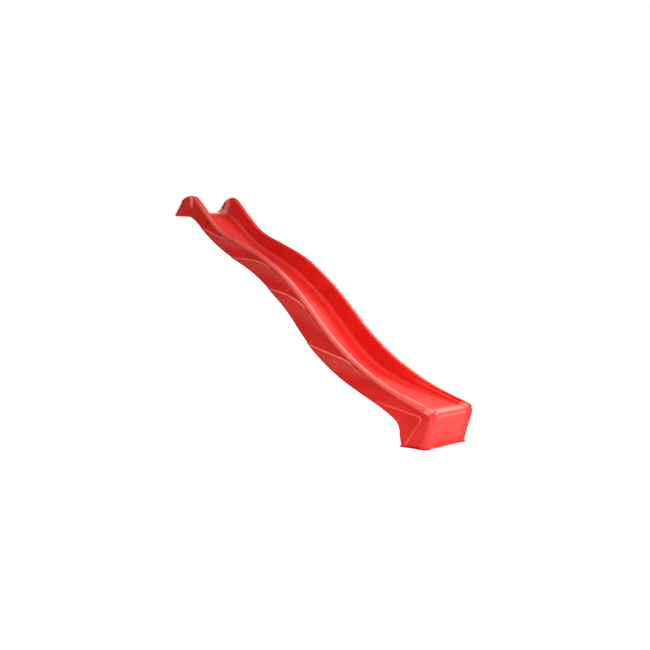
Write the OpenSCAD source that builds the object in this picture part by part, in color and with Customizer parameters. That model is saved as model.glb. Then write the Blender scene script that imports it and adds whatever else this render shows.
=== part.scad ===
// Wave slide for a raised play deck: one hollow plastic moulding with its fittings.
// +X runs downhill, +Y is to the rider's left and +Z is up. The origin is the middle of
// the lip's underside, where it rests on the deck.

/* [Chute] */
// Level distance from the deck seat to the end of the run-out
chute_run = 2660; // [2100:10:3300]
// Drop from the deck seat to the end of the run-out
chute_drop = 1220; // [1000:10:1480]
// Height of the end of the run-out over the ground
exit_height = 250; // [200:5:320]
// Half the clear width between the side walls, at the top of the walls
trough_half = 188; // [150:1:260]
// Width of the rounded rim
rim_w = 50; // [40:1:80]
// Inward step of the side wall under the rim
rim_step = 7; // [3:1:10]
// Outward slope of a side wall, from the rim down to its lower edge
wall_draft = 14; // [0:1:30]
// Radius between the bed and the side walls
bed_fillet = 36; // [20:1:50]
// Thickness of the plastic skin
skin = 3.5; // [2.5:0.1:4.5]

/* [Ears and foot] */
// How far the two ears stand out beyond the side walls
ear_flare = 14; // [0:1:40]
// Extra half width at the heel of the foot
heel_flare = 17; // [0:1:30]
// Width of the flange round the bottom of the foot
flange_w = 12; // [6:1:20]
// Thickness of the flange round the bottom of the foot
flange_t = 8; // [5:0.5:12]
// Width of the turned-in edge round the open underside of the foot
base_return = 25; // [15:1:40]

/* [Fixing holes] */
// Diameter of the clear hole through each lip sleeve and ear bushing
fixing_d = 9; // [6:0.5:11]
// Outer diameter of a lip sleeve
sleeve_d = 16; // [14:0.5:22]
// Distance between the two holes in the lip
lip_hole_gap = 240; // [120:5:300]
// Distance of the lip's holes from the deck seat's middle
lip_hole_x = 15; // [10:1:20]
// Distance between the two holes in an ear
ear_hole_gap = 35; // [30:1:38]
// Outer diameter of an ear bushing's barrel
bushing_d = 14; // [13:0.5:17]
// Diameter of a bushing's head and of its ring
bushing_head_d = 24; // [20:1:26]
// Thickness of a bushing's head and of its ring
bushing_head_t = 2.5; // [2:0.5:4]

/* [Water port] */
// Outer diameter of the barrels of the port and the spray head
port_d = 20; // [16:0.5:24]
// Diameter of the water way
port_bore_d = 6; // [4:0.5:8]
// Depth of the threaded socket behind the plug
port_socket_h = 12; // [8:0.5:14]
// Diameter of the port's flange
port_flange_d = 34; // [30:1:40]
// Diameter of the spray head
spray_d = 30; // [26:1:36]
// Outer diameter of the hose tails
tail_d = 10; // [9:0.5:12]
// Wall of the feed tube
tube_wall = 2; // [1.5:0.5:3]

/* [Blow hole plugs] */
// Diameter of each blow hole
blow_hole_d = 18; // [12:0.5:24]
// Diameter of a plug's head
plug_head_d = 26; // [26:1:34]

/* [Hidden] */
$fn = 48;

red = [0.80, 0.09, 0.07];
dark_red = [0.62, 0.06, 0.05];
black = [0.10, 0.10, 0.11];
grey = [0.55, 0.56, 0.58];

gap = 0.3;                       // clearance between a fitting and its hole or seat
ground_z = -(chute_drop + exit_height + 2);
run_scale = chute_run / 2660;    // the key stations are drawn for a run of 2660
drop_scale = chute_drop / 1220;  // and for a drop of 1220
rim_out = trough_half + rim_w;
wall_out = rim_out - rim_step;

// Key stations from the deck down to the end of the run-out. Each is the middle of the bed,
// how far its section leans forward from upright, the height of the rim over the bed, the
// depth of the side wall's lower edge under the bed, the thickness of the bed, the flare
// of the ears, the extra half width at the lower edge and the size of the rim's corner.
//   x, z, lean, rise, skirt, core, flare, spread, corner
wave = [
  [-20, 45, 38, 118, 57, 57, 1, 0, 20],
  [-5, 45, 36, 138, 56, 56, 1, 0, 20],
  [32, 44, 30, 142, 51, 51, 1, 0, 20],
  [88, 38, 24, 146, 42, 42, 0.15, 0.3, 20],
  [135, 26, 24, 142, 28, 28, 0, 0.6, 20],
  [212, -3, 33, 112, 29, 29, 0, 1, 20],
  [315, -74, 36, 98, 29, 29, 0, 1, 20],
  [431, -154, 32, 92, 29, 29, 0, 1, 20],
  [547, -220, 25, 100, 29, 29, 0, 1, 20],
  [664, -271, 21, 113, 31, 29, 0, 1, 20],
  [784, -316, 21, 117, 32, 29, 0, 1, 20],
  [904, -366, 24, 125, 35, 29, 0, 1, 20],
  [1023, -427, 28, 132, 39, 29, 0, 1, 20],
  [1141, -496, 31, 134, 45, 29, 0, 1, 20],
  [1260, -574, 35, 132, 51, 29, 0, 1, 20],
  [1370, -655, 38, 128, 60, 29, 0, 1, 20],
  [1480, -752, 41, 131, 67, 29, 0, 1, 20],
  [1590, -848, 40, 132, 68, 29, 0, 1, 20],
  [1700, -937, 36, 136, 60, 29, 0, 1, 20],
  [1810, -1008, 30, 134, 57, 29, 0, 1, 20],
  [1920, -1062, 23, 125, 56, 29, 0, 1, 20],
  [2040, -1102, 17, 107, 63, 31, 0, 1, 20],
  [2160, -1135, 14, 89, 74, 36, 0, 1, 20],
  [2280, -1162, 11, 70, 91, 50, 0, 1, 22],
  [2400, -1183, 11, 55, 124, 88, 0, 1, 26],
  [2500, -1199, 27, 47, 170, 140, 0, 1.3, 32],
];

// The foot, measured from the end of the run-out and from the ground.
//   x, z, lean, rise, skirt, core, flare, spread, corner
foot = [
  [-90, 264, 35, 42, 233, 205, 0, 1.6, 38],
  [-35, 258, 39, 36, 283, 256, 0, 1.8, 42],
  [8, 248, 43, 31, 312, 286, 0, 1.9, 45],
  [22, 222, 47, 22, 308, 283, 0, 2, 45],
  [13, 162, 54, 14, 267, 242, 0, 2.1, 45],
  [-8, 82, 69, 11, 208, 183, 0, 2.2, 45],
  [-27, 8, 90, 10, 177, 152, 0, 2.2, 45],
];

// One list of stations in place: the wave stretched to the run and drop, then the foot.
// The lip keeps its thickness, and its underside goes down to the deck.
seat_end = 118;
function lip_core(k) = k[1] / cos(k[2]) + 0.6;
keys = [
  for (k = wave) k[1] > 0
    ? [k[0], k[1], k[2], k[3], lip_core(k), lip_core(k), for (i = [6 : 8]) k[i]]
    : [k[0] * run_scale, k[1] * drop_scale, for (i = [2 : 8]) k[i]],
  for (k = foot) [k[0] + chute_run, k[1] + ground_z, for (i = [2 : 8]) k[i]]
];

function blend4(a, b, c, d, t) =
  b + 0.5 * t * (c - a + t * (2 * a - 5 * b + 4 * c - d + t * (3 * (b - c) + d - a)));
function key_at(i) = keys[max(0, min(len(keys) - 1, i))];
function station(u) =
  let (i = min(len(keys) - 2, floor(u)))
  blend4(key_at(i - 1), key_at(i), key_at(i + 1), key_at(i + 2), u - i);

// Upper half of a section, from the middle of the bed out to the rim, drawn g inside the skin.
function upper_half(k, g) =
  let (rise = k[3], out = min(1, k[6]) * ear_flare, upright = max(0, 1 - max(0, k[7])))
  let (lip_r = min(16, rise / 2), corner_r = k[8], f = min(bed_fillet, (rise - lip_r) * 0.9))
  let (foot_y = trough_half - 16 * (1 - upright) + out, top_y = trough_half + out)
  let (mid_y = (foot_y + top_y) / 2, mid_w = (f + rise - lip_r) / 2)
  [
    [0, -g],
    [(foot_y - f) * 0.55, -g],
    for (a = [0, 30, 60]) [foot_y - f + (f + g) * sin(a), f - (f + g) * cos(a)],
    [foot_y + g, f],
    [mid_y + g, mid_w],
    for (a = [0, 30, 60, 90])
      [top_y + lip_r - (lip_r - g) * cos(a), rise - lip_r + (lip_r - g) * sin(a)],
    for (a = [30, 60])
      [rim_out + out - corner_r + (corner_r - g) * sin(a), rise - corner_r + (corner_r - g) * cos(a)]
  ];

// Lower half of a section, from the middle of the underside out to the rim.
function lower_half(k, g) =
  let (rise = k[3], out = min(1, k[6]) * ear_flare, corner_r = k[8])
  let (recess = k[4] - k[5], low = -k[4] + g, under = -k[5] + g)
  let (spread = max(0, k[7]) * wall_draft + max(0, k[7] - 1) / 1.2 * (heel_flare - wall_draft))
  let (side_y = wall_out + out - g, low_y = wall_out + out + spread - g)
  let (step_w = rise - corner_r - 10)
  [
    [0, under],
    [70, under],
    [trough_half - 48, under],
    [trough_half - 20 + g, under - recess * 0.12],
    [trough_half - 6 + g, under - recess * 0.5],
    [trough_half + 2 + g, low + min(8, recess * 0.4)],
    [trough_half + 12 + g, low],
    [low_y - 16, low],
    [low_y - 4, low + 4],
    [low_y, low + 14],
    [(side_y + low_y) / 2, (low + 14 + step_w) / 2],
    [side_y, step_w],
    [rim_out + out - g, rise - corner_r]
  ];

function reversed(l) = [for (i = [len(l) - 1 : -1 : 0]) l[i]];
function section(k, g) =
  let (up = upper_half(k, g), down = lower_half(k, g), n = len(up))
  [
    each up,
    each reversed(down),
    for (i = [1 : n - 1]) [-down[i][0], down[i][1]],
    for (i = [n - 1 : -1 : 1]) [-up[i][0], up[i][1]]
  ];
function placed(k, flat) =
  [for (p = flat) [k[0] + p[1] * sin(k[2]), p[0], k[1] + p[1] * cos(k[2])]];
// The underside of the lip is pressed flat where it rests on the deck.
function seated(p, g) = p[0] < seat_end && p[2] < g ? [p[0], p[1], g] : p;
function ring(u, g) = let (k = station(u)) [for (p = placed(k, section(k, g))) seated(p, g)];

// The flange and the turned-in edge are the last section, spread in the plane of the ground.
base_key = keys[len(keys) - 1];
base_middle = [base_key[0] - base_key[4] / 2, 0];
function spread_ring(g, z) =
  let (flat = placed(base_key, section(base_key, 0)), n = len(flat))
  [for (i = [0 : n - 1])
    let (a = flat[(i + n - 1) % n], b = flat[(i + 1) % n])
    let (d = [b[0] - a[0], b[1] - a[1]], s = norm(d))
    [flat[i][0] + g * d[1] / s, flat[i][1] - g * d[0] / s, z]];
function shrunk_ring(z) =
  let (k = base_key, wide = wall_out + heel_flare, deep = base_key[4] / 2)
  [for (p = placed(k, section(k, 0)))
    [base_middle[0] + (p[0] - base_middle[0]) * (1 - base_return / deep),
     p[1] * (1 - base_return / wide), z]];

steps = 2;                       // rings between two key stations
last = len(keys) - 1;
outer_rings = [for (i = [0 : last * steps]) ring(i / steps, 0)];
inner_rings = [for (i = [last : -1 : 1]) ring(i - 0.001, skin), ring(0.35, skin)];
all_rings = [
  each outer_rings,
  spread_ring(flange_w, ground_z + flange_t),
  spread_ring(flange_w, ground_z),
  shrunk_ring(ground_z),
  shrunk_ring(ground_z + skin),
  each inner_rings
];

module loft(rings) {
  n = len(rings[0]);
  m = len(rings);
  half = (n + 2) / 4;
  // A cap joins each point of the upper edge to the one under it.
  cap = [
    for (i = [0 : half - 2]) [i, i + 1, n / 2 - i - 1, n / 2 - i],
    for (i = [0 : half - 2]) [(n - i) % n, n / 2 + i, n / 2 + i + 1, n - i - 1]
  ];
  function two(q) = [[q[0], q[1], q[2]], [q[0], q[2], q[3]]];
  polyhedron(
    points = [for (r = rings) each r],
    faces = [
      for (q = cap) each two(reversed(q)),
      for (j = [0 : m - 2], i = [0 : n - 1])
        each two([j * n + i, j * n + (i + 1) % n, j * n + n + (i + 1) % n, j * n + n + i]),
      for (q = cap) each two([for (v = q) v + (m - 1) * n])
    ]
  );
}

// Fixing holes of the deck lip and of the ears
lip_z = key_at(1)[1];
function skin_under(k) = k[1] - skin * cos(k[2]);
lip_in = (skin_under(key_at(1)) + skin_under(key_at(2))) / 2;
ear_mid = [45, 0, 101];
ear_lean = 34.5;
ear_in = trough_half + ear_flare;
ear_out = wall_out + ear_flare;
module at_lip_holes() {
  for (side = [-1, 1]) translate([lip_hole_x, side * lip_hole_gap / 2, 0]) children();
}
module at_ear_holes() {
  for (side = [-1, 1], w = [-ear_hole_gap / 2, ear_hole_gap / 2])
    translate(ear_mid + w * [sin(ear_lean), 0, cos(ear_lean)]) rotate([-90 * side, 0, 0]) children();
}
module tube(od, id, h, z = 0) {
  translate([0, 0, z]) difference() {
    cylinder(d = od, h = h);
    translate([0, 0, -1]) cylinder(d = id, h = h + 2);
  }
}

// Two compression sleeves stand between the skins of the lip, round its screw holes.
module lip_sleeves() {
  color(grey) at_lip_holes()
    tube(sleeve_d, fixing_d, lip_in - skin - 3 * gap, skin + gap);
}
// Two bushings go through each ear from the rider's side, and a ring locks each outside.
module ear_bushings() {
  color(dark_red) at_ear_holes() {
    tube(bushing_d, fixing_d, ear_out - ear_in + bushing_head_t + 3 * gap, ear_in - gap);
    tube(bushing_head_d, fixing_d, bushing_head_t, ear_in - bushing_head_t - gap);
  }
}
module ear_bushing_rings() {
  color(dark_red) at_ear_holes()
    tube(bushing_head_d, bushing_d + gap, bushing_head_t, ear_out + 2 * gap);
}

// Water port in the right side wall, and the spray head further down in the same wall.
port_at = 6;
port_w = 46;
spray_at = 7;
spray_w = 58;
outer_tilt = atan(wall_draft / (key_at(port_at)[3] + key_at(port_at)[4] - 44));
inner_tilt = atan(16 / (key_at(spray_at)[3] - 16 - bed_fillet));
port_y = wall_out + (key_at(port_at)[3] - 30 - port_w) * tan(outer_tilt);
spray_y = trough_half - 16 + (spray_w - bed_fillet) * tan(inner_tilt);
module at_port() {
  k = key_at(port_at);
  translate([k[0], 0, k[1]]) rotate([0, k[2], 0])
    translate([0, -port_y, port_w]) rotate([90 - outer_tilt, 0, 0]) children();
}
module at_spray() {
  k = key_at(spray_at);
  translate([k[0], 0, k[1]]) rotate([0, k[2], 0])
    translate([0, -spray_y, spray_w]) rotate([-90 + inner_tilt, 0, 0]) children();
}
seal_t = 1.5;
barrel_h = 20;
elbow_h = barrel_h - tail_d / 2 - 1.5;
function in_section(k, y, w) = [k[0] + w * sin(k[2]), -y, k[1] + w * cos(k[2])];
port_elbow = in_section(key_at(port_at), port_y - elbow_h * cos(outer_tilt),
  port_w - elbow_h * sin(outer_tilt));
spray_elbow = in_section(key_at(spray_at), spray_y + elbow_h * cos(inner_tilt),
  spray_w - elbow_h * sin(inner_tilt));
tail_way = spray_elbow - port_elbow;
tail_h = 28;
module at_tail(from, way) {
  translate(from) rotate([0, acos(way[2] / norm(way)), atan2(way[1], way[0])]) children();
}
module port_body() {
  color(black) difference() {
    union() {
      at_port() translate([0, 0, seal_t + 2 * gap]) cylinder(d = port_flange_d, h = 3);
      at_port() translate([0, 0, -barrel_h]) cylinder(d = port_d - 2 * gap, h = barrel_h + 3);
      at_tail(port_elbow, tail_way) cylinder(d = tail_d, h = tail_h);
    }
    at_port() translate([0, 0, seal_t + 3 - port_socket_h]) cylinder(d = port_d - 6, h = 20);
    at_port() translate([0, 0, -elbow_h - 4]) cylinder(d = port_bore_d + 2, h = barrel_h);
    at_tail(port_elbow, tail_way) cylinder(d = port_bore_d, h = tail_h + 1);
  }
}
module port_seal() {
  color(black) at_port() tube(port_flange_d - 4, port_d, seal_t, gap);
}
module port_plug() {
  color(red) at_port() {
    translate([0, 0, seal_t + 3 + 3 * gap]) cylinder(d = port_flange_d - 4, h = 3);
    translate([0, 0, seal_t + 4 - port_socket_h])
      cylinder(d = port_d - 6 - 2 * gap, h = port_socket_h + 1);
  }
}
module feed_tube() {
  start = port_elbow + tail_way / norm(tail_way) * 12;
  color(grey) at_tail(start, tail_way)
    tube(tail_d + 2 * tube_wall, tail_d + gap, norm(tail_way) - 24);
}
module spray_head() {
  color(black) difference() {
    union() {
      at_spray() translate([0, 0, seal_t + 2 * gap]) cylinder(d1 = spray_d, d2 = spray_d - 8, h = 4);
      at_spray() translate([0, 0, -barrel_h]) cylinder(d = port_d - 2 * gap, h = barrel_h + 3);
      at_tail(spray_elbow, -tail_way) cylinder(d = tail_d, h = tail_h);
    }
    at_spray() translate([0, 0, -elbow_h - 4]) cylinder(d = port_bore_d + 2, h = elbow_h + 7);
    at_tail(spray_elbow, -tail_way) cylinder(d = port_bore_d, h = tail_h + 1);
    at_spray() for (x = [-8, -4, 0, 4, 8]) translate([x, 0, 0]) cylinder(d = 1.6, h = 20);
    at_spray() translate([-9, -1, 0]) cube([18, 2, 3]);
  }
}
module spray_seal() {
  color(black) at_spray() tube(spray_d - 2, port_d, seal_t, gap);
}

// Push-in plugs close the holes that the moulding is blown through.
module at_blow_holes() {
  for (i = [9, 13, 17]) {
    k = key_at(i);
    translate([k[0], 0, k[1]]) rotate([0, k[2], 0]) translate([0, 0, -k[5]]) children();
  }
}
module blow_hole_plugs() {
  color(dark_red) at_blow_holes() {
    translate([0, 0, spot - 3 - gap]) cylinder(d = plug_head_d, h = 3);
    translate([0, 0, -1]) cylinder(d = blow_hole_d - 2 * gap, h = skin + 4);
  }
}

// The moulding is flat round each fitting, so the loft is spot-faced there.
spot = 0.5;
module hole(d, seat_d, seat, up = 10) {
  translate([0, 0, -12]) cylinder(d = d, h = 12 + up);
  translate([0, 0, -seat]) cylinder(d = seat_d + 2, h = up);
}
module chute_shell() {
  color(red) difference() {
    loft(all_rings);
    at_lip_holes() translate([0, 0, -5]) cylinder(d = fixing_d, h = lip_z + 20);
    at_ear_holes() translate([0, 0, ear_in - 8]) cylinder(d = bushing_d + 2 * gap, h = rim_w + 20);
    at_port() hole(port_d, port_flange_d, 0);
    at_spray() hole(port_d, spray_d, 0);
    at_blow_holes() rotate([180, 0, 0]) hole(blow_hole_d, plug_head_d, spot);
  }
}

chute_shell();
lip_sleeves();
ear_bushings();
ear_bushing_rings();
port_body();
port_seal();
port_plug();
feed_tube();
spray_head();
spray_seal();
blow_hole_plugs();
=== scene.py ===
"""Wave slide for a raised play deck: one hollow red moulding with its small fittings.

Metres throughout. +X runs downhill, +Y is to the rider's left and +Z is up. The origin is the
middle of the lip's underside, where it rests on the deck.
"""
import math

import bmesh
import bpy
from mathutils import Euler, Matrix, Vector


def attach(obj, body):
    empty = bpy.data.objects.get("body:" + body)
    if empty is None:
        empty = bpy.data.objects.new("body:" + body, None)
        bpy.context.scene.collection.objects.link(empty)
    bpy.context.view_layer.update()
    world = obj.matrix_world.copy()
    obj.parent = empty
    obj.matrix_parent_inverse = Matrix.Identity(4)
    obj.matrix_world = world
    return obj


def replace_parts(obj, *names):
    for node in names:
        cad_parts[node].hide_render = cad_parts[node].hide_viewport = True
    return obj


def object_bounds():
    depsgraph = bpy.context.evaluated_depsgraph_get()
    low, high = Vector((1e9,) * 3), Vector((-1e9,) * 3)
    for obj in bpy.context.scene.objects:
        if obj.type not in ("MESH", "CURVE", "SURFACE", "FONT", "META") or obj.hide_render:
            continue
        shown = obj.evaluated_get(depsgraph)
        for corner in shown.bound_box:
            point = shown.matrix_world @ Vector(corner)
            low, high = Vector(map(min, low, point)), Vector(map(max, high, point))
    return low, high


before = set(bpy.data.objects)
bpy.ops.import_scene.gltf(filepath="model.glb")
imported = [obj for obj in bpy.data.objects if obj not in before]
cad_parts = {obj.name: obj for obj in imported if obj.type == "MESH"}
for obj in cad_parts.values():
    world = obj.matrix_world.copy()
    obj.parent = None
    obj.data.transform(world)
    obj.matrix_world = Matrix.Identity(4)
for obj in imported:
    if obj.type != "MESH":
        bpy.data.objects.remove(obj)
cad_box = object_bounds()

# ---- Camera and studio ----------------------------------------------------------------------
# A long lens stands to the right of the run-out, a little above the deck, and looks back up
# the slide. The slide stands on a pale studio floor under broad soft lights.
camera_data = bpy.data.cameras.new("camera")
camera_data.sensor_width = 36
camera_data.lens = 56.68
camera = bpy.data.objects.new("camera", camera_data)
camera.location = (6.722, -5.551, 0.097)
aim = Euler((math.radians(90 - 6.422), 0, math.radians(43.428))).to_matrix()
camera.rotation_euler = (aim @ Matrix.Rotation(math.radians(2), 3, "Z")).to_euler()
bpy.context.scene.collection.objects.link(camera)
bpy.context.scene.camera = camera
bpy.context.scene.view_settings.view_transform = "Standard"

ground = cad_box[0][2]


def studio_light(name, place, target, size, power, tint=(1, 1, 1)):
    data = bpy.data.lights.new(name, "AREA")
    data.shape = "RECTANGLE"
    data.size, data.size_y = size
    data.energy = power
    data.color = tint
    lamp = bpy.data.objects.new(name, data)
    lamp.location = place
    lamp.visible_camera = False
    lamp.rotation_euler = (Vector(target) - Vector(place)).to_track_quat("-Z", "Y").to_euler()
    bpy.context.scene.collection.objects.link(lamp)


studio_light("backdrop_glow", (-4.0, 6.0, 1.0), (0.6, 0, -0.4), (8.0, 3.0), 75)
studio_light("far_strip", (1.8, 3.2, 2.5), (1.5, 0, -0.8), (4.0, 1.0), 100)
studio_light("front_fill", (5.8, 0.6, 0.0), (2.6, 0, -1.3), (1.5, 1.5), 60)
studio_light("run_out_box", (3.0, -0.3, 0.2), (2.3, 0, -1.1), (1.4, 0.6), 15)
studio_light("low_side_fill", (3.6, -3.0, -1.25), (1.6, 0, -0.75), (1.8, 0.4), 16)
studio_light("end_panel_glow", (5.2, 3.2, -0.9), (2.7, 0, -1.3), (1.2, 0.8), 115)
key_data = bpy.data.lights.new("key", "SUN")
key_data.energy = 1.0
key_data.angle = math.radians(40)
key = bpy.data.objects.new("key", key_data)
key.rotation_euler = Vector((0.05, -0.18, 0.98)).to_track_quat("Z", "Y").to_euler()
bpy.context.scene.collection.objects.link(key)

world = bpy.data.worlds.new("studio")
world.use_nodes = True
sky = world.node_tree
sky.nodes["Background"].inputs["Strength"].default_value = 0.28
white = sky.nodes.new("ShaderNodeBackground")
white.inputs["Color"].default_value = (1, 1, 1, 1)
seen = sky.nodes.new("ShaderNodeLightPath")
choose = sky.nodes.new("ShaderNodeMixShader")
sky.links.new(seen.outputs["Is Camera Ray"], choose.inputs["Fac"])
sky.links.new(sky.nodes["Background"].outputs[0], choose.inputs[1])
sky.links.new(white.outputs[0], choose.inputs[2])
sky.links.new(choose.outputs[0], sky.nodes["World Output"].inputs["Surface"])
sky.nodes["Background"].inputs["Color"].default_value = (1, 1, 1, 1)
bpy.context.scene.world = world

floor_bm = bmesh.new()
bmesh.ops.create_grid(floor_bm, x_segments=2, y_segments=2, size=60)
bmesh.ops.translate(floor_bm, verts=floor_bm.verts, vec=(1.3, 0, ground))
floor_mesh = bpy.data.meshes.new("floor")
floor_bm.to_mesh(floor_mesh)
floor_bm.free()
floor = bpy.data.objects.new("floor", floor_mesh)
bpy.context.scene.collection.objects.link(floor)
floor_paint = bpy.data.materials.new("studio_floor")
floor_paint.use_nodes = True
floor_paint.node_tree.nodes["Principled BSDF"].inputs["Base Color"].default_value = (0.96, 0.96, 0.96, 1)
floor_paint.node_tree.nodes["Principled BSDF"].inputs["Roughness"].default_value = 0.9
# The sheet under the slide is lit from below, which lifts its shadows for the camera alone.
floor_tree = floor_paint.node_tree
floor_seen = floor_tree.nodes.new("ShaderNodeLightPath")
floor_glow = floor_tree.nodes.new("ShaderNodeMath")
floor_glow.operation = "MULTIPLY"
floor_glow.inputs[1].default_value = 0.9
floor_tree.links.new(floor_seen.outputs["Is Camera Ray"], floor_glow.inputs[0])
floor_tree.links.new(floor_glow.outputs[0], floor_tree.nodes["Principled BSDF"].inputs["Emission Strength"])
floor_tree.nodes["Principled BSDF"].inputs["Emission Color"].default_value = (1, 1, 1, 1)
floor_mesh.materials.append(floor_paint)

# ---- Chute moulding -------------------------------------------------------------------------
# The whole slide is one blow-moulded shell of red high-density polyethylene, a hollow body
# with a skin of about 3.5 mm. The mould gives it the waved bed, the rounded rims, the ears at
# the deck, the boxed foot and the shallow swept panels on its sides.
chute_run, chute_drop, exit_height = 2660, 1220, 250
trough_half, rim_w, rim_step = 188, 50, 7
wall_draft, heel_flare, ear_flare, bed_fillet, skin = 14, 17, 14, 36, 3.5
rim_out = trough_half + rim_w
wall_out = rim_out - rim_step
foot_z = -(chute_drop + exit_height + 2)
seat_end = 118
ear_round = 18

# x, z, lean, rise, skirt, core, flare, spread, corner
WAVE = [
    (-20, 45, 38, 134, 0, 0, 1, 0, 20),
    (-5, 45, 36, 138, 0, 0, 1, 0, 20),
    (32, 44, 30, 142, 0, 0, 1, 0, 20),
    (88, 38, 24, 146, 0, 0, 0.15, 0.3, 20),
    (135, 26, 24, 142, 0, 0, 0, 0.6, 20),
    (212, -3, 33, 112, 29, 29, 0, 1, 20),
    (315, -74, 36, 98, 29, 29, 0, 1, 20),
    (431, -154, 32, 92, 29, 29, 0, 1, 20),
    (547, -220, 25, 100, 29, 29, 0, 1, 20),
    (664, -271, 21, 113, 31, 29, 0, 1, 20),
    (784, -316, 21, 117, 32, 29, 0, 1, 20),
    (904, -366, 24, 125, 35, 29, 0, 1, 20),
    (1023, -427, 28, 132, 39, 29, 0, 1, 20),
    (1141, -496, 31, 134, 45, 29, 0, 1, 20),
    (1260, -574, 35, 132, 51, 29, 0, 1, 20),
    (1370, -655, 38, 128, 60, 29, 0, 1, 20),
    (1480, -752, 41, 131, 67, 29, 0, 1, 20),
    (1590, -848, 40, 132, 68, 29, 0, 1, 20),
    (1700, -937, 36, 136, 60, 29, 0, 1, 20),
    (1810, -1008, 30, 134, 57, 29, 0, 1, 20),
    (1920, -1062, 23, 125, 56, 29, 0, 1, 20),
    (2040, -1102, 17, 107, 63, 31, 0, 1, 20),
    (2160, -1135, 14, 89, 74, 36, 0, 1, 20),
    (2280, -1162, 11, 70, 91, 50, 0, 1, 22),
    (2400, -1183, 11, 55, 124, 88, 0, 1, 26),
    (2500, -1199, 27, 47, 170, 140, 0, 1.3, 32),
]
FOOT = [
    (-90, 264, 35, 42, 233, 205, 0, 1.6, 38),
    (-35, 258, 39, 36, 283, 256, 0, 1.8, 42),
    (8, 248, 43, 31, 312, 286, 0, 1.9, 45),
    (22, 222, 47, 22, 308, 283, 0, 2, 45),
    (13, 162, 54, 14, 267, 242, 0, 2.1, 45),
    (-8, 82, 69, 11, 208, 183, 0, 2.2, 45),
    (-27, 8, 90, 10, 177, 152, 0, 2.2, 45),
]


def lip_key(k):
    core = k[1] / math.cos(math.radians(k[2])) + 0.6
    return k[:4] + (core, core) + k[6:]


KEYS = [lip_key(k) if k[1] > 0 else k for k in WAVE]
KEYS += [(k[0] + chute_run, k[1] + foot_z) + k[2:] for k in FOOT]


def station(u):
    i = min(len(KEYS) - 2, int(u))
    t = u - i
    a, b, c, d = (KEYS[max(0, min(len(KEYS) - 1, j))] for j in (i - 1, i, i + 1, i + 2))
    k = [q + 0.5 * t * (r - p + t * (2 * p - 5 * q + 4 * r - s + t * (3 * (q - r) + s - p)))
         for p, q, r, s in zip(a, b, c, d)]
    if u < 1:
        k[3] -= ear_round * (1 - math.sqrt(1 - (1 - u) ** 2))
    return k


def smooth(t):
    t = max(0.0, min(1.0, t))
    return t * t * (3 - 2 * t)


def arc(cy, cw, r, start, end, n):
    """Points of an arc after its first, as (y, w)."""
    for i in range(1, n + 1):
        a = math.radians(start + (end - start) * i / n)
        yield cy + r * math.cos(a), cw + r * math.sin(a)


def line(a, b, n):
    """Points of a straight run after its first."""
    for i in range(1, n + 1):
        yield a[0] + (b[0] - a[0]) * i / n, a[1] + (b[1] - a[1]) * i / n


WALL_ROWS = 38


def half_section(k, g, out):
    """Left half of a cross-section, g inside the skin, from the bed's middle to the underside's."""
    rise, skirt, core, spread, corner = k[3], k[4], k[5], k[7], k[8]
    lip_r = min(16, rise / 2)
    upright = max(0, 1 - max(0, spread))
    fillet = min(bed_fillet, (rise - lip_r) * 0.9)
    foot_y = trough_half - 16 * (1 - upright) + out
    top_y = trough_half + out
    low, under, recess = -skirt + g, -core + g, skirt - core
    wide = max(0, spread) * wall_draft + max(0, spread - 1) / 1.2 * (heel_flare - wall_draft)
    side_y, low_y = wall_out + out - g, wall_out + out + wide - g
    step_w = rise - corner - 10
    points = [(0, -g)]
    points += line((0, -g), (foot_y - fillet, -g), 4)
    points += arc(foot_y - fillet, fillet, fillet + g, -90, 0, 6)
    points += line((foot_y + g, fillet), (top_y + g, rise - lip_r), 5)
    points += arc(top_y + lip_r, rise - lip_r, lip_r - g, 180, 90, 6)
    points += line((top_y + lip_r, rise - g), (rim_out + out - corner, rise - g), 2)
    points += arc(rim_out + out - corner, rise - corner, corner - g, 90, 0, 7)
    points += [(rim_out + out - g, rise - corner - 2), (rim_out + out - g - 1, rise - corner - 3.6),
               (side_y + 2, rise - corner - 6), (side_y + 0.4, rise - corner - 8), (side_y, step_w)]
    rows = len(points)
    points += line((side_y, step_w), (low_y, low + 14), WALL_ROWS)
    points += arc(low_y - 14 + g, low + 14 - g, 14 - g, 0, -90, 4)
    points += line((low_y - 14, low), (trough_half + 18, low), 2)
    lift = min(8, recess * 0.4)
    points += [(trough_half + 12 + g, low), (trough_half + 5 + g, low + lift * 0.3),
               (trough_half + 1 + g, low + lift), (trough_half - 6 + g, under - recess * 0.5),
               (trough_half - 13 + g, under - recess * 0.24), (trough_half - 22 + g, under - recess * 0.07),
               (trough_half - 34, under)]
    points += line((trough_half - 34, under), (0, under), 4)
    return points, rows


# The swept panels: where each starts at the lower edge and where it meets the rim.
SWEEPS = [(5.9, 8.0), (9.25, 12.0), (12.8, 15.3), (16.85, 19.9)]
panel_proud, panel_edge, panel_fade, sweep_power = 8, 11, 2.4, 1.45
foot_proud = 5.5


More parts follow.
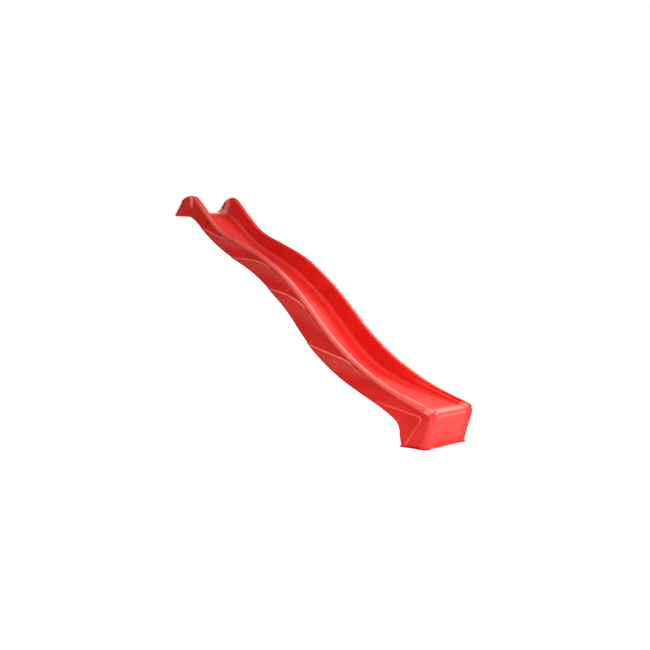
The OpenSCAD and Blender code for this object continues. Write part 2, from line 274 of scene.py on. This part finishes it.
def side_relief(u, q, wall, x, z):
    """How far the side wall stands out, in mm, at height fraction q of a wall at station u."""
    out = 0
    for start, end in SWEEPS:
        t = (u - start) / (end - start)
        if not -0.2 < t < 3:
            continue
        edge = 1 - (1 - t) ** sweep_power if t < 1 else 1 + (t - 1) * 0.6
        edge = edge if t > 0 else t * sweep_power
        beyond = u - (start + (1 - (1 - min(1, max(0, q))) ** (1 / sweep_power)) * (end - start))
        out += panel_proud * smooth((edge - q) * wall / panel_edge) * (1 - smooth(beyond / panel_fade))
    top = -1207 - (x - 2277) * 0.12 - z
    front = (2606 + 0.6 * min(0, z + 1278) - x) * 0.86
    inside = min(top, front)
    round_r = 26
    if top < round_r and front < round_r:
        inside = round_r - math.hypot(round_r - top, round_r - front)
    out += foot_proud * smooth(inside / panel_edge) * smooth((x - 2180) / 160) * smooth((z - foot_z - 6) / 16)
    return out


def wall_rows(u, k, lean, top, wall, low):
    """Points down the side wall, crowded where the swept panels step out."""
    samples = 90
    heights = [top[1] + (low[1] - top[1]) * j / samples for j in range(samples + 1)]
    stand = [side_relief(u, (w + k[4] - 14) / wall, wall, k[0] + w * math.sin(lean), k[1] + w * math.cos(lean))
             for w in heights]
    steps = [abs(b - a) for a, b in zip(stand, stand[1:])]
    crowd = 0.9 / max(4, sum(steps))
    reach = [0.0]
    for step in steps:
        reach.append(reach[-1] + 1 / samples + step * crowd)
    rows, j = [], 0
    for i in range(1, WALL_ROWS + 1):
        goal = reach[-1] * i / WALL_ROWS
        while j < samples - 1 and reach[j + 1] < goal:
            j += 1
        t = (j + (goal - reach[j]) / (reach[j + 1] - reach[j])) / samples
        rows.append((top[0] + (low[0] - top[0]) * t, top[1] + (low[1] - top[1]) * t))
    return rows


def ear_spread(x, k, w):
    """The ears stand out over the side walls and end in a soft upright step near their peak."""
    if x > 260:
        return 0
    top = smooth((w - 40) / 60)
    sharp = 1 - smooth((x - 138) / 26)
    return ear_flare * (top * sharp + (1 - top) * min(1, max(0, k[6])))


def painted_highlight(u, on_bed, on_rim, x):
    """Painted highlight as a pale tint: a painted reflection along the deck lip, and painted highlights on the rims
    and the landing edge.
    """
    landing = smooth(1 - abs(u - 27.4) / 1.1)
    if on_bed:
        return max(1 - smooth((x - 85) / 60), 0.8 * landing)
    return max(0.3 - 0.22 * smooth((u - 26) / 2), 0.8 * landing) if on_rim else 0


def chute_ring(bm, run, painted_glint, u, g=0.0, shift=0.0, travel=0.0):
    """One ring of the skin at station u, shift mm further along the slide."""
    k = station(u)
    lean = math.radians(k[2])
    flat, wall_row = half_section(k, g, 0)
    wall = k[3] - k[8] - 10 + k[4] - 14
    if not g:
        flat[wall_row:wall_row + WALL_ROWS] = wall_rows(u, k, lean, flat[wall_row - 1], wall, flat[wall_row + WALL_ROWS - 1])
    ring = bmesh.ops.create_circle(bm, segments=len(flat) * 2 - 2, radius=1)["verts"]
    girth, out_before, w_before = 0.0, 0.0, 0.0
    for i, (y, w) in enumerate(flat):
        x = k[0] + w * math.sin(lean) + shift * math.cos(lean)
        z = k[1] + w * math.cos(lean) - shift * math.sin(lean)
        if y > 120:
            y += ear_spread(x, k, w) * smooth((y - 120) / 50)
        row = i - wall_row + 1
        if 0 <= row <= WALL_ROWS + 4 and not g:
            out = side_relief(u, min(1, (w + k[4] - 14) / wall), wall, x, z)
            # The swept panels' steps get a painted highlight, as strong as the wall's slope there.
            glint = min(1, abs(out - out_before) / max(1, w_before - w)) if row else 0
            out_before, w_before = out, w
            y += out
        else:
            glint = painted_highlight(u, i < wall_row - 18, wall_row - 14 < i < wall_row - 5, x) if not g else 0
        # A painted highlight runs down the ears' upright step near their peak.
        if i > wall_row - 9 and not g:
            glint = max(glint, smooth(1.4 - abs(x - 153) / 11) * smooth((z - 60) / 45))
        girth += math.dist((y, w), flat[i - 1]) if i else 0
        if x < seat_end and z < g:
            z = g
        used = 0
        if i < wall_row - 18:
            used = smooth((w + 2) / 2) * (1 - smooth((w - k[3] + 14) / 8)) * smooth((x - 70) / 70)
            used -= 0.65 * (1 - smooth((x - 95) / 50))
        for vert, side in ((ring[i], 1), (ring[-i], -1)):
            vert.co = Vector((x, y * side, z)) * 0.001
            vert[painted_glint] = glint
            vert[run] = (travel * 0.001, y * side * 0.001 if i < 12 else girth * side * 0.001, used)
    return ring


def ring_edges(ring):
    inside = set(ring)
    return list({e for v in ring for e in v.link_edges if e.other_vert(v) in inside})


def finish_mesh(name, bm, sharp_angle=38):
    mesh = bpy.data.meshes.new(name)
    bm.to_mesh(mesh)
    bm.free()
    mesh.polygons.foreach_set("use_smooth", [True] * len(mesh.polygons))
    mesh.set_sharp_from_angle(angle=math.radians(sharp_angle))
    piece = bpy.data.objects.new(name, mesh)
    bpy.context.scene.collection.objects.link(piece)
    return piece


bed_travel = [0.0]
fine = 40
for i in range(1, (len(KEYS) - 1) * fine + 1):
    a, b = station((i - 1) / fine), station(i / fine)
    bed_travel.append(bed_travel[-1] + math.dist(a[:2], b[:2]))
ring_gap = 9
stops, at = [], 0.0
for i, s in enumerate(bed_travel):
    if s >= at:
        stops.append((i / fine, s))
        at = s + (ring_gap if s > 24 else 1.6)
stops[-1] = (len(KEYS) - 1.0, bed_travel[-1])

shell = bmesh.new()
run = shell.verts.layers.float_vector.new("run")
painted_glint = shell.verts.layers.float.new("painted_glint")
rings = [chute_ring(shell, run, painted_glint, 0, g=g, shift=back) for g, back in ((4.5, -4.5), (2.2, -3.9), (0.7, -2.4))]
rings += [chute_ring(shell, run, painted_glint, u, travel=s) for u, s in stops]

# The flange round the foot: how far out and how high each of its edges is.
FLANGE = [(2, 8), (10.4, 8), (11.6, 7.4), (12, 6.2), (12, 1), (11.2, 0)]
base = KEYS[-1]
half, wall_row = half_section(base, 0, 0)
outline = [Vector((w, y)) for y, w in half]
outline += [Vector((w, -y)) for y, w in half[-2:0:-1]]
facing = []
for i, here in enumerate(outline):
    ahead = outline[(i + 1) % len(outline)] - outline[i - 1]
    facing.append(Vector((ahead.y, -ahead.x)).normalized())
eased = []
for here in outline:
    near = [n for n, there in zip(facing, outline) if (there - here).length < 20]
    eased.append(sum(near, Vector((0, 0))).normalized())
for out, height in FLANGE:
    ring = bmesh.ops.create_circle(shell, segments=len(outline), radius=1)["verts"]
    for vert, edge, way in zip(ring, outline, eased):
        vert.co = Vector((base[0] + edge.x + way.x * out, edge.y + way.y * out, foot_z + height)) * 0.001
    rings.append(ring)

# The edge turns in under the foot, and the inner skin goes back up to the lip.
for grow, height in ((0.87, 0), (0.86, skin)):
    ring = bmesh.ops.create_circle(shell, segments=len(half) * 2 - 2, radius=1)["verts"]
    middle = Vector((base[0] - base[4] / 2, 0, 0)) * 0.001
    for i, (y, w) in enumerate(half):
        for vert, side in ((ring[i], 1), (ring[-i], -1)):
            place = Vector((base[0] + w, y * side, 0)) * 0.001
            vert.co = middle + (place - middle) * Vector((0.8, grow, 1))
            vert.co = Vector((middle.x + (place.x - middle.x) * 0.78, place.y * grow, (foot_z + height) * 0.001))
    rings.append(ring)
for i in range(2 * (len(KEYS) - 1), 0, -1):
    rings.append(chute_ring(shell, run, painted_glint, i / 2 - 0.001, g=skin))
rings.append(chute_ring(shell, run, painted_glint, 0.35, g=skin))

edge_loops = [ring_edges(ring) for ring in rings]
for upper, lower in zip(edge_loops, edge_loops[1:]):
    bmesh.ops.bridge_loops(shell, edges=upper + lower)
for loop in (edge_loops[0], edge_loops[-1]):
    bmesh.ops.triangle_fill(shell, edges=loop, use_beauty=True)
bmesh.ops.recalc_face_normals(shell, faces=shell.faces)
chute = finish_mesh("chute_moulding", shell)
print("chute", len(chute.data.polygons), "open", sum(1 for e in [0]))


def bore(bm, place, radius, low, high):
    """A round cutter along the place's own Z."""
    middle = place @ Matrix.Translation((0, 0, (low + high) / 2 * 0.001))
    bmesh.ops.create_cone(bm, cap_ends=True, segments=48, radius1=radius * 0.001,
                          radius2=radius * 0.001, depth=(high - low) * 0.001, matrix=middle)


def at_key(i, turn, y, w):
    """Place on the section of key i, with its Z turned about X from the section's upright."""
    k = KEYS[i]
    return (Matrix.Translation((k[0] * 0.001, 0, k[1] * 0.001))
            @ Matrix.Rotation(math.radians(k[2]), 4, "Y")
            @ Matrix.Translation((0, y * 0.001, w * 0.001))
            @ Matrix.Rotation(math.radians(turn), 4, "X"))


fixing_d, bushing_d, port_d, blow_hole_d = 9, 14, 20, 18
bushing_head_d, plug_head_d, port_flange_d, spray_d = 24, 26, 34, 30
ear_lean, ear_mid, ear_hole_gap = math.radians(34.5), Vector((45, 0, 101)), 35
port_k, spray_k = KEYS[6], KEYS[7]
outer_tilt = math.degrees(math.atan(wall_draft / (port_k[3] + port_k[4] - 44)))
inner_tilt = math.degrees(math.atan(16 / (spray_k[3] - 16 - bed_fillet)))
port_y = wall_out + (port_k[3] - 30 - 46) * math.tan(math.radians(outer_tilt))
spray_y = trough_half - 16 + (58 - bed_fillet) * math.tan(math.radians(inner_tilt))
lip_holes = [Matrix.Translation((0.015, side * 0.120, 0)) for side in (-1, 1)]
ear_holes = []
for side in (-1, 1):
    for w in (-ear_hole_gap / 2, ear_hole_gap / 2):
        place = (ear_mid + Vector((math.sin(ear_lean), 0, math.cos(ear_lean))) * w) * 0.001
        ear_holes.append(Matrix.Translation(place) @ Matrix.Rotation(math.radians(-90 * side), 4, "X"))
port_place = at_key(6, 90 - outer_tilt, -port_y, 46)
spray_place = at_key(7, -90 + inner_tilt, -spray_y, 58)
blow_places = [at_key(i, 180, 0, -KEYS[i][5]) for i in (9, 13, 17)]

cutters = bmesh.new()
for place in lip_holes:
    bore(cutters, place, fixing_d / 2, -5, 60)
for place in ear_holes:
    bore(cutters, place, bushing_d / 2 + 0.3, 194, 266)
bore(cutters, port_place, port_d / 2, -12, 6)
bore(cutters, spray_place, port_d / 2, -12, 12)
for place in blow_places:
    bore(cutters, place, blow_hole_d / 2, -12, 4)
cutter = finish_mesh("cutter", cutters)
cut = chute.modifiers.new("holes", "BOOLEAN")
cut.object = cutter
cut.operation = "DIFFERENCE"
cut.solver = "MANIFOLD"
bored = bpy.data.meshes.new_from_object(chute.evaluated_get(bpy.context.evaluated_depsgraph_get()))
chute.modifiers.clear()
chute.data = bored
bpy.data.objects.remove(cutter)
print("bored", len(bored.polygons), [a.name for a in bored.attributes])
bored.polygons.foreach_set("use_smooth", [True] * len(bored.polygons))
bored.set_sharp_from_angle(angle=math.radians(38))


def nodes_of(group):
    return group.nodes, group.links


def new_group(name, inputs, outputs):
    group = bpy.data.node_groups.new(name, "ShaderNodeTree")
    for label, kind, value in inputs:
        socket = group.interface.new_socket(label, in_out="INPUT", socket_type="NodeSocket" + kind)
        socket.default_value = value
    for label, kind in outputs:
        group.interface.new_socket(label, in_out="OUTPUT", socket_type="NodeSocket" + kind)
    group.nodes.new("NodeGroupInput")
    group.nodes.new("NodeGroupOutput")
    return group


def add(tree, kind, **settings):
    node = tree.nodes.new("ShaderNode" + kind)
    for key, value in settings.items():
        if hasattr(node, key):
            setattr(node, key, value)
        else:
            node.inputs[key.replace("_", " ")].default_value = value
    return node


def join(tree, *pairs):
    for source, target in pairs:
        tree.links.new(source, target)


def mould_grain():
    """The faint orange-peel that a blown plastic skin takes from its mould."""
    group = new_group("mould_grain", [("Scale", "Float", 1.0), ("Depth", "Float", 1.0)], [("Height", "Float")])
    start, end = group.nodes["Group Input"], group.nodes["Group Output"]
    coords = add(group, "TexCoord")
    peel = add(group, "TexNoise", Detail=3.0, Roughness=0.55)
    dimple = add(group, "TexVoronoi", Scale=700.0)
    size = add(group, "Math", operation="MULTIPLY")
    size.inputs[1].default_value = 140.0
    blend = add(group, "Math", operation="MULTIPLY_ADD")
    blend.inputs[1].default_value = 0.35
    depth = add(group, "Math", operation="MULTIPLY")
    join(group, (start.outputs["Scale"], size.inputs[0]), (size.outputs[0], peel.inputs["Scale"]),
         (coords.outputs["Object"], peel.inputs["Vector"]), (coords.outputs["Object"], dimple.inputs["Vector"]),
         (dimple.outputs["Distance"], blend.inputs[0]), (peel.outputs["Fac"], blend.inputs[2]),
         (blend.outputs[0], depth.inputs[0]), (start.outputs["Depth"], depth.inputs[1]),
         (depth.outputs[0], end.inputs["Height"]))
    return group


def weathered_colour():
    """Slow changes of shade in the plastic, with chalky flecks of bloom scattered by noise."""
    group = new_group("weathered_colour",
                      [("Colour", "Color", (0.7, 0.02, 0.02, 1)), ("Shade", "Color", (0.5, 0.01, 0.01, 1)),
                       ("Bloom", "Color", (0.8, 0.2, 0.16, 1)), ("Amount", "Float", 0.5)],
                      [("Color", "Color"), ("Haze", "Float")])
    start, end = group.nodes["Group Input"], group.nodes["Group Output"]
    coords = add(group, "TexCoord")
    cloud = add(group, "TexNoise", Scale=3.2, Detail=4.0, Roughness=0.6)
    patch = add(group, "TexNoise", Scale=8.0, Detail=2.5, Roughness=0.5)
    spread = add(group, "MapRange")
    spread.inputs["From Min"].default_value = 0.35
    spread.inputs["From Max"].default_value = 0.7
    fleck = add(group, "MapRange")
    fleck.inputs["From Min"].default_value = 0.52
    fleck.inputs["From Max"].default_value = 0.8
    fleck_amount = add(group, "Math", operation="MULTIPLY")
    shade = add(group, "Mix", data_type="RGBA")
    bloom = add(group, "Mix", data_type="RGBA")
    join(group, (coords.outputs["Object"], cloud.inputs["Vector"]), (coords.outputs["Object"], patch.inputs["Vector"]),
         (cloud.outputs["Fac"], spread.inputs["Value"]), (patch.outputs["Fac"], fleck.inputs["Value"]),
         (fleck.outputs["Result"], fleck_amount.inputs[0]), (start.outputs["Amount"], fleck_amount.inputs[1]),
         (spread.outputs["Result"], shade.inputs["Factor"]),
         (start.outputs["Shade"], shade.inputs[6]), (start.outputs["Colour"], shade.inputs[7]),
         (fleck_amount.outputs[0], bloom.inputs["Factor"]),
         (shade.outputs[2], bloom.inputs[6]), (start.outputs["Bloom"], bloom.inputs[7]),
         (bloom.outputs[2], end.inputs["Color"]), (fleck.outputs["Result"], end.inputs["Haze"]))
    return group


def slide_scuffs():
    """Fine lengthwise scratches where riders pass, read from the run of the bed."""
    group = new_group("slide_scuffs", [("Amount", "Float", 1.0)], [("Mask", "Float"), ("Height", "Float"), ("Use", "Float"), ("Glint", "Float")])
    start, end = group.nodes["Group Input"], group.nodes["Group Output"]
    # This node reads the mesh's painted highlight amount and hands it on.
    edge = add(group, "Attribute", attribute_name="painted_glint")
    way = add(group, "Attribute", attribute_name="run")
    split = add(group, "SeparateXYZ")
    stretch = add(group, "Mapping")
    stretch.inputs["Scale"].default_value = (1.3, 260, 0)
    hair = add(group, "TexNoise", Scale=1.0, Detail=6.0, Roughness=0.7)
    broad = add(group, "Mapping")
    broad.inputs["Scale"].default_value = (1.1, 9, 0)
    worn = add(group, "TexNoise", Scale=1.0, Detail=2.0)
    thin = add(group, "MapRange")
    thin.inputs["From Min"].default_value = 0.56
    thin.inputs["From Max"].default_value = 0.72
    lane = add(group, "MapRange")
    lane.inputs["From Min"].default_value = 0.4
    lane.inputs["From Max"].default_value = 0.65
    both = add(group, "Math", operation="MULTIPLY")
    used = add(group, "Math", operation="MULTIPLY")
    amount = add(group, "Math", operation="MULTIPLY")
    dip = add(group, "Math", operation="MULTIPLY")
    dip.inputs[1].default_value = -1.0
    join(group, (way.outputs["Vector"], split.inputs[0]), (way.outputs["Vector"], stretch.inputs["Vector"]),
         (stretch.outputs[0], hair.inputs["Vector"]), (way.outputs["Vector"], broad.inputs["Vector"]),
         (broad.outputs[0], worn.inputs["Vector"]), (hair.outputs["Fac"], thin.inputs["Value"]),
         (worn.outputs["Fac"], lane.inputs["Value"]), (thin.outputs["Result"], both.inputs[0]),
         (lane.outputs["Result"], both.inputs[1]), (both.outputs[0], used.inputs[0]),
         (split.outputs["Z"], used.inputs[1]), (used.outputs[0], amount.inputs[0]),
         (start.outputs["Amount"], amount.inputs[1]), (amount.outputs[0], end.inputs["Mask"]),
         (amount.outputs[0], dip.inputs[0]), (dip.outputs[0], end.inputs["Height"]),
         (split.outputs["Z"], end.inputs["Use"]), (edge.outputs["Fac"], end.inputs["Glint"]))
    return group


GRAIN, WEATHER, SCUFFS = mould_grain(), weathered_colour(), slide_scuffs()


def place_group(tree, group, **values):
    node = tree.nodes.new("ShaderNodeGroup")
    node.node_tree = group
    for key, value in values.items():
        node.inputs[key].default_value = value
    return node


def moulded_plastic(name, colour, shade, bloom, gloss, haze, grain_depth, scuffed=0.0, patchy=0.25):
    """A moulded plastic: shaded and bloomed colour, orange-peel skin and, on the bed, scratches. A scuffed skin also
    takes a pale painted highlight from its mesh.
    """
    material = bpy.data.materials.new(name)
    material.use_nodes = True
    tree = material.node_tree
    shader = tree.nodes["Principled BSDF"]
    shader.inputs["IOR"].default_value = 1.52
    shader.inputs["Specular IOR Level"].default_value = 0.24
    tone = place_group(tree, WEATHER, Colour=colour, Shade=shade, Bloom=bloom, Amount=patchy)
    grain = place_group(tree, GRAIN, Scale=1.0, Depth=1.0)
    rough = add(tree, "MapRange")
    rough.inputs["To Min"].default_value = gloss
    rough.inputs["To Max"].default_value = haze
    bump = add(tree, "Bump")
    bump.inputs["Strength"].default_value = 0.12
    bump.inputs["Distance"].default_value = grain_depth
    join(tree, (tone.outputs["Haze"], rough.inputs["Value"]), (bump.outputs["Normal"], shader.inputs["Normal"]))
    if scuffed:
        marks = place_group(tree, SCUFFS, Amount=scuffed)
        paint = add(tree, "Mix", data_type="RGBA")
        paint.inputs[7].default_value = bloom
        # A pale tint is painted in where the mesh asks for a highlight.
        glint_tint = add(tree, "Mix", data_type="RGBA")
        glint_tint.inputs[7].default_value = (0.98, 0.24, 0.20, 1)
        duller = add(tree, "Math", operation="MULTIPLY_ADD")
        duller.inputs[1].default_value = 0.35
        worn = add(tree, "Math", operation="MULTIPLY_ADD")
        worn.inputs[1].default_value = 0.24
        height = add(tree, "Math", operation="ADD")
        join(tree, (tone.outputs["Color"], paint.inputs[6]), (marks.outputs["Mask"], paint.inputs["Factor"]),
             (paint.outputs[2], glint_tint.inputs[6]), (marks.outputs["Glint"], glint_tint.inputs["Factor"]),
             (glint_tint.outputs[2], shader.inputs["Base Color"]), (marks.outputs["Mask"], duller.inputs[0]),
             (rough.outputs["Result"], duller.inputs[2]), (marks.outputs["Use"], worn.inputs[0]),
             (duller.outputs[0], worn.inputs[2]), (worn.outputs[0], shader.inputs["Roughness"]),
             (grain.outputs["Height"], height.inputs[0]), (marks.outputs["Height"], height.inputs[1]),
             (height.outputs[0], bump.inputs["Height"]))
    else:
        join(tree, (tone.outputs["Color"], shader.inputs["Base Color"]),
             (rough.outputs["Result"], shader.inputs["Roughness"]),
             (grain.outputs["Height"], bump.inputs["Height"]))
    return material


red_shell = moulded_plastic("red_polyethylene", (0.76, 0.016, 0.008, 1), (0.66, 0.011, 0.007, 1),
                            (0.80, 0.06, 0.045, 1), 0.22, 0.32, 0.0005, scuffed=0.2, patchy=0.2)
bored.materials.clear()
bored.materials.append(red_shell)
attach(chute, "root")
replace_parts(chute, "chute_shell")

# ---- Ear bushings ---------------------------------------------------------------------------
# Four turned nylon bushings go through the ears from the rider's side, so the deck screws don't
# crush the hollow wall. Each has a rounded head, countersunk for the screw.
ear_in, ear_out, head_t = trough_half + ear_flare, wall_out + ear_flare, 2.5


def turned(bm, place, profile, steps=48):
    """A piece turned about the place's Z from a closed profile of (radius, height) in mm."""
    corners = [bm.verts.new((r * 0.001, 0, z * 0.001)) for r, z in profile]
    open_ends = profile[0][0] == 0 and profile[-1][0] == 0
    pairs = zip(corners, corners[1:] if open_ends else corners[1:] + corners[:1])
    edges = [bm.edges.new(pair) for pair in pairs]
    before = set(bm.verts)
    bmesh.ops.spin(bm, geom=corners + edges, cent=(0, 0, 0), axis=(0, 0, 1), angle=math.tau,
                   steps=steps, use_merge=True)
    made = corners + [v for v in bm.verts if v not in before]
    bmesh.ops.remove_doubles(bm, verts=made, dist=1e-6)
    made = [v for v in made if v.is_valid]
    bmesh.ops.transform(bm, matrix=place, verts=made)


def fitting(name, bm, material, cutters=None):
    bmesh.ops.recalc_face_normals(bm, faces=bm.faces)
    piece = finish_mesh(name, bm, 32)
    if cutters:
        tool = finish_mesh(name + "_cutter", cutters)
        cut = piece.modifiers.new("cut", "BOOLEAN")
        cut.object, cut.operation, cut.solver = tool, "DIFFERENCE", "EXACT"
        result = bpy.data.meshes.new_from_object(piece.evaluated_get(bpy.context.evaluated_depsgraph_get()))
        piece.modifiers.clear()
        piece.data = result
        bpy.data.objects.remove(tool)
        result.polygons.foreach_set("use_smooth", [True] * len(result.polygons))
        result.set_sharp_from_angle(angle=math.radians(32))
    piece.data.materials.clear()
    piece.data.materials.append(material)
    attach(piece, "root")
    return piece


dark_red = moulded_plastic("dark_red_nylon", (0.60, 0.015, 0.009, 1), (0.50, 0.012, 0.008, 1),
                           (0.7, 0.06, 0.05, 1), 0.3, 0.42, 0.0003)
bushings = bmesh.new()
head_z = ear_in - head_t - 0.3
for place in ear_holes:
    turned(bushings, place, [
        (4.5, head_z + 2.4), (6.6, head_z), (10.6, head_z), (11.5, head_z + 0.3), (12, head_z + 1.2),
        (12, head_z + head_t), (7, head_z + head_t), (7, ear_out + 2.4), (6.3, ear_out + 3.1),
        (4.5, ear_out + 3.1)])
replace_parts(fitting("deck_screw_bushings", bushings, dark_red), "ear_bushings")

# ---- Bushing rings --------------------------------------------------------------------------
# A pressed ring locks each bushing on the ear's outer face, with a shallow groove for the tool.
collars = bmesh.new()
for place in ear_holes:
    ring_z = ear_out + 0.6
    turned(collars, place, [
        (7.15, ring_z), (12, ring_z), (12, ring_z + 1.5), (11.4, ring_z + 2.3), (10.6, ring_z + 2.5),
        (9.9, ring_z + 2.5), (9.6, ring_z + 2.1), (9.0, ring_z + 2.1), (8.7, ring_z + 2.5), (7.15, ring_z + 2.5)])
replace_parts(fitting("locking_rings", collars, dark_red), "ear_bushing_rings")

# ---- Water port -----------------------------------------------------------------------------
# A black nylon inlet in the right side wall takes a garden hose. Its barrel turns into a barbed
# tail inside the wall, where the feed tube is pushed on.
black_nylon = moulded_plastic("black_nylon", (0.014, 0.014, 0.016, 1), (0.009, 0.009, 0.010, 1),
                              (0.06, 0.06, 0.06, 1), 0.35, 0.5, 0.0002)
elbow = 13.5
port_elbow = port_place @ Vector((0, 0, -elbow * 0.001))
spray_elbow = spray_place @ Vector((0, 0, -elbow * 0.001))
BARBED_TAIL = [(3, 0), (5, 0), (5, 13), (4.5, 13.4), (5, 15.5), (4.5, 15.9), (5, 18), (4.5, 18.4),
               (5, 20.5), (4.5, 20.9), (5, 23), (4.2, 28), (3, 28)]


def barbed_tail(bm, start, end):
    turned(bm, Matrix.Translation(start) @ (end - start).to_track_quat("Z", "Y").to_matrix().to_4x4(), BARBED_TAIL)


inlet = bmesh.new()
turned(inlet, port_place, [
    (7, -7.5), (4, -7.5), (4, -17.5), (0, -17.5), (0, -20), (8.9, -20), (9.7, -19.2), (9.7, 2.1), (16.4, 2.1),
    (17, 2.6), (17, 4), (16.2, 4.9), (15.4, 5.1), (7.6, 5.1), (7, 4.6)][:3] + [
    (4, -17.5), (3.9, -20), (8.9, -20), (9.7, -19.2), (9.7, 2.1), (16.4, 2.1), (17, 2.6), (17, 4),
    (16.2, 4.9), (15.4, 5.1), (7.6, 5.1), (7, 4.6)])
barbed_tail(inlet, port_elbow, spray_elbow)
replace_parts(fitting("hose_inlet", inlet, black_nylon), "port_body")

# ---- Port plug ------------------------------------------------------------------------------
# A red screw plug closes the inlet when no hose is on it, and is turned with a coin.
plug_red = moulded_plastic("plug_red", (0.66, 0.015, 0.009, 1), (0.55, 0.012, 0.008, 1),
                           (0.7, 0.06, 0.05, 1), 0.28, 0.4, 0.0003)
plug = bmesh.new()
thread = [(6.7 if i % 2 else 6.1, -5.6 + i * 0.9) for i in range(12)]
turned(plug, port_place, [(0, -6.5), (5.6, -6.5)] + thread + [
    (6.1, 5.4), (16.4, 5.4), (17, 5.9), (17, 7.0), (16.2, 7.8), (14.6, 8.4), (0, 8.4)])
coin = bmesh.new()
bmesh.ops.create_cube(coin, size=1, matrix=port_place @ Matrix.Translation((0, 0, 0.0083))
                      @ Matrix.Diagonal((0.017, 0.0020, 0.0030, 1)))
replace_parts(fitting("coin_plug", plug, plug_red, coin), "port_plug")

# ---- Spray head -----------------------------------------------------------------------------
# A low domed nozzle on the inside of the same wall wets the bed through five small holes.
nozzle = bmesh.new()
turned(nozzle, spray_place, [
    (4, -17.5), (4, -20), (8.9, -20), (9.7, -19.2), (9.7, 2.1), (14.5, 2.1), (15, 2.6), (14.7, 3.6),
    (13.4, 4.9), (11, 5.8), (6, 6.1), (0, 6.1)] + [(0, 3), (4, 3)])
barbed_tail(nozzle, spray_elbow, port_elbow)
jets = bmesh.new()
for x in (-8, -4, 0, 4, 8):
    bore(jets, spray_place @ Matrix.Translation((x * 0.001, 0, 0)), 0.8, 0, 20)
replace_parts(fitting("wetting_nozzle", nozzle, black_nylon, jets), "spray_head")

# ---- Blow-hole plugs ------------------------------------------------------------------------
# Three push-in plugs with a low dome and a stepped stem close the underside's blowing holes.
stoppers = bmesh.new()
for place in blow_places:
    turned(stoppers, place, [
        (0, -6.5), (7.2, -6.5), (8.7, -5.2), (8.2, -4.4), (8.7, -3.2), (8.2, -2.4), (8.7, -1), (8.7, -0.2),
        (12.6, -0.2), (13, 0.3), (12.7, 1.3), (11.4, 2.2), (8, 2.7), (0, 2.8)])
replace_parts(fitting("underside_plugs", stoppers, dark_red), "blow_hole_plugs")

# ---- Hidden sleeves, seals and feed tube ----------------------------------------------------
# These sit inside the hollow wall or under a flange, so they keep the exact shapes of the CAD:
# grey nylon sleeves and tube, and black rubber seals dulled by mould release.
grey_nylon = moulded_plastic("grey_nylon", (0.30, 0.31, 0.33, 1), (0.24, 0.25, 0.27, 1),
                             (0.4, 0.4, 0.4, 1), 0.4, 0.55, 0.0002)
seal_rubber = moulded_plastic("seal_rubber", (0.02, 0.02, 0.02, 1), (0.015, 0.015, 0.015, 1),
                              (0.06, 0.06, 0.06, 1), 0.6, 0.8, 0.0003)
for node, material in (("lip_sleeves", grey_nylon), ("feed_tube", grey_nylon),
                       ("port_seal", seal_rubber), ("spray_seal", seal_rubber)):
    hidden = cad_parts[node].data.materials
    hidden.clear()
    hidden.append(material)
